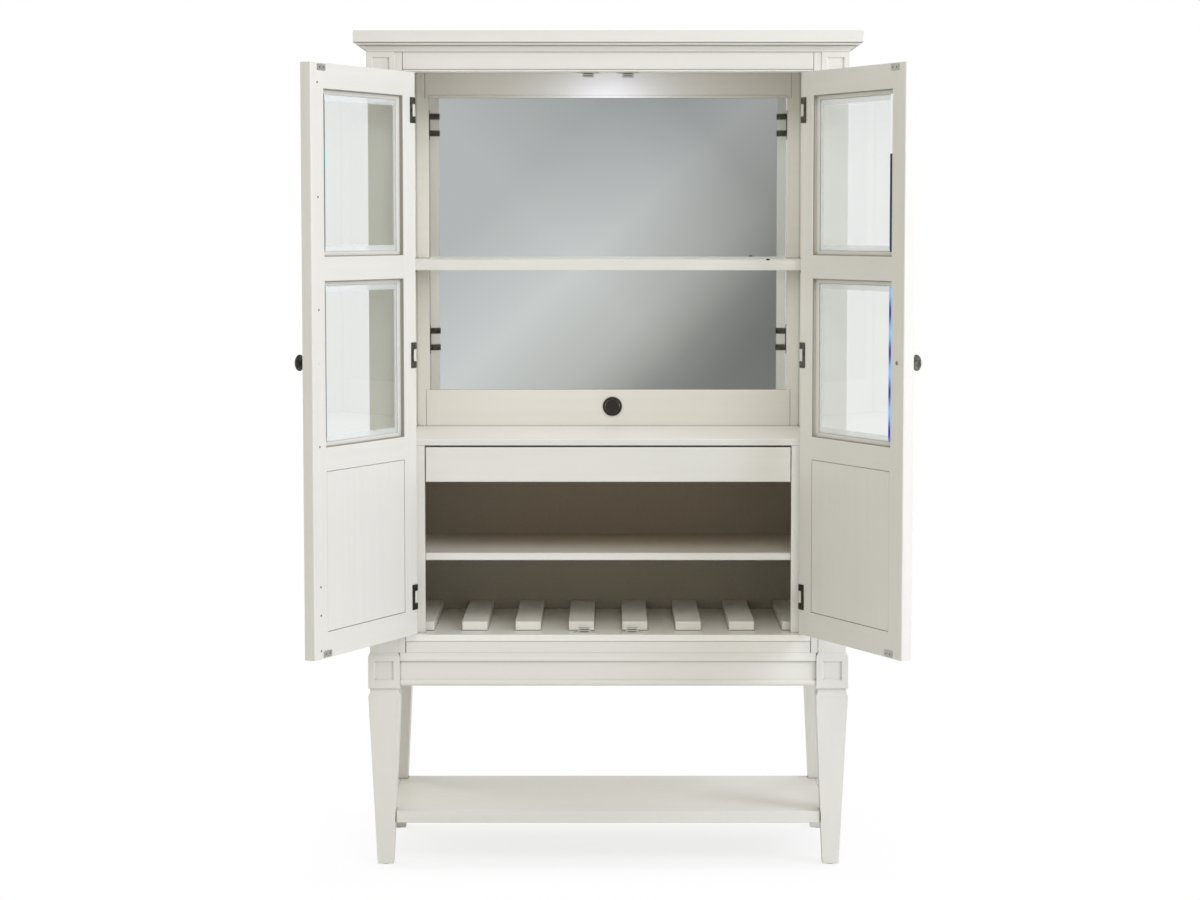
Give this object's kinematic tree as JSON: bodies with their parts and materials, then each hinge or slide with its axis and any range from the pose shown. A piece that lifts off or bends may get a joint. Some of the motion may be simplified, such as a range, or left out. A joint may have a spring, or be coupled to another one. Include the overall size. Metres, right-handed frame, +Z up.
{
  "type": "display cabinet",
  "caption": "Free-standing bar and display cabinet with glazed double doors, mirror back, drawer and bottle slats, on a tapered-leg stand with a low shelf.",
  "frame": {"origin": "on the floor, midway between the sides and midway between the foremost edge of the open doors and the back", "axes": "+X to the viewer's right, +Y to the back, +Z up; the doors open towards -Y"},
  "size_m": [1.3648, 0.916, 1.944],
  "materials": {
    "paint": "satin off-white paint on wood",
    "back_board": "flat painted plywood",
    "dark_lining": "dark taupe lining board",
    "drawer_wood": "clear lacquered light wood",
    "mirror": "silvered glass with a polished edge",
    "glass": "clear bevelled glass",
    "lens": "frosted lens",
    "bronze": "dark bronze",
    "steel": "zinc-plated steel",
    "light_housing": "satin metal",
    "black_plastic": "matte black",
    "grey_plastic": "matte grey"
  },
  "bodies": {
    "case": {"leg_front_left": "paint", "leg_front_right": "paint", "leg_rear_left": "paint", "leg_rear_right": "paint", "apron_front": "paint", "aprons_side_rear": "paint", "bottom_shelf": "paint", "shelf_stretchers": "paint", "case_floor": "paint", "post_front_left": "paint", "post_front_right": "paint", "posts_rear": "paint", "face_stiles": "paint", "bottom_rail": "paint", "header_rail": "paint", "side_rails": "paint", "side_panel_left": "paint", "side_panel_right": "paint", "inner_wall_left": "paint", "inner_wall_right": "paint", "liners": "paint", "ceiling": "paint", "crown_front": "paint", "crown_sides": "paint", "crown_top": "paint", "mirror_frame": "paint", "counter": "paint", "display_shelf": "paint", "lower_shelf": "paint", "bottle_slats": "paint", "drawer_front": "paint", "back_panel": "back_board", "lower_back": "dark_lining", "mirror": "mirror", "grommet": "black_plastic", "foot_glides": "black_plastic", "shelf_pins": "steel", "drawer_box": "drawer_wood", "drawer_runners": "steel", "puck_light": "light_housing", "puck_lens": "lens", "catches": "grey_plastic", "hinge_frame_leaves": "bronze"},
    "left_door": {"left_door_stiles": "paint", "left_door_rails": "paint", "left_door_panel": "paint", "left_door_glass": "glass", "left_door_beads": "paint", "left_door_knob": "bronze", "left_door_strikes": "steel", "left_door_hinges": "bronze"},
    "right_door": {"right_door_stiles": "paint", "right_door_rails": "paint", "right_door_panel": "paint", "right_door_glass": "glass", "right_door_beads": "paint", "right_door_knob": "bronze", "right_door_strikes": "steel", "right_door_hinges": "bronze"}
  },
  "joints": [
    {"name": "left_door_hinge", "type": "hinge", "parent": "case", "child": "left_door", "pos_m": [-0.4703, -0.02002, 0], "axis": [0, 0, -1], "range_deg": [-114.6, 45.4]},
    {"name": "right_door_hinge", "type": "hinge", "parent": "case", "child": "right_door", "pos_m": [0.4703, -0.02002, 0], "axis": [0, 0, 1], "range_deg": [-114.6, 45.4]}
  ]
}
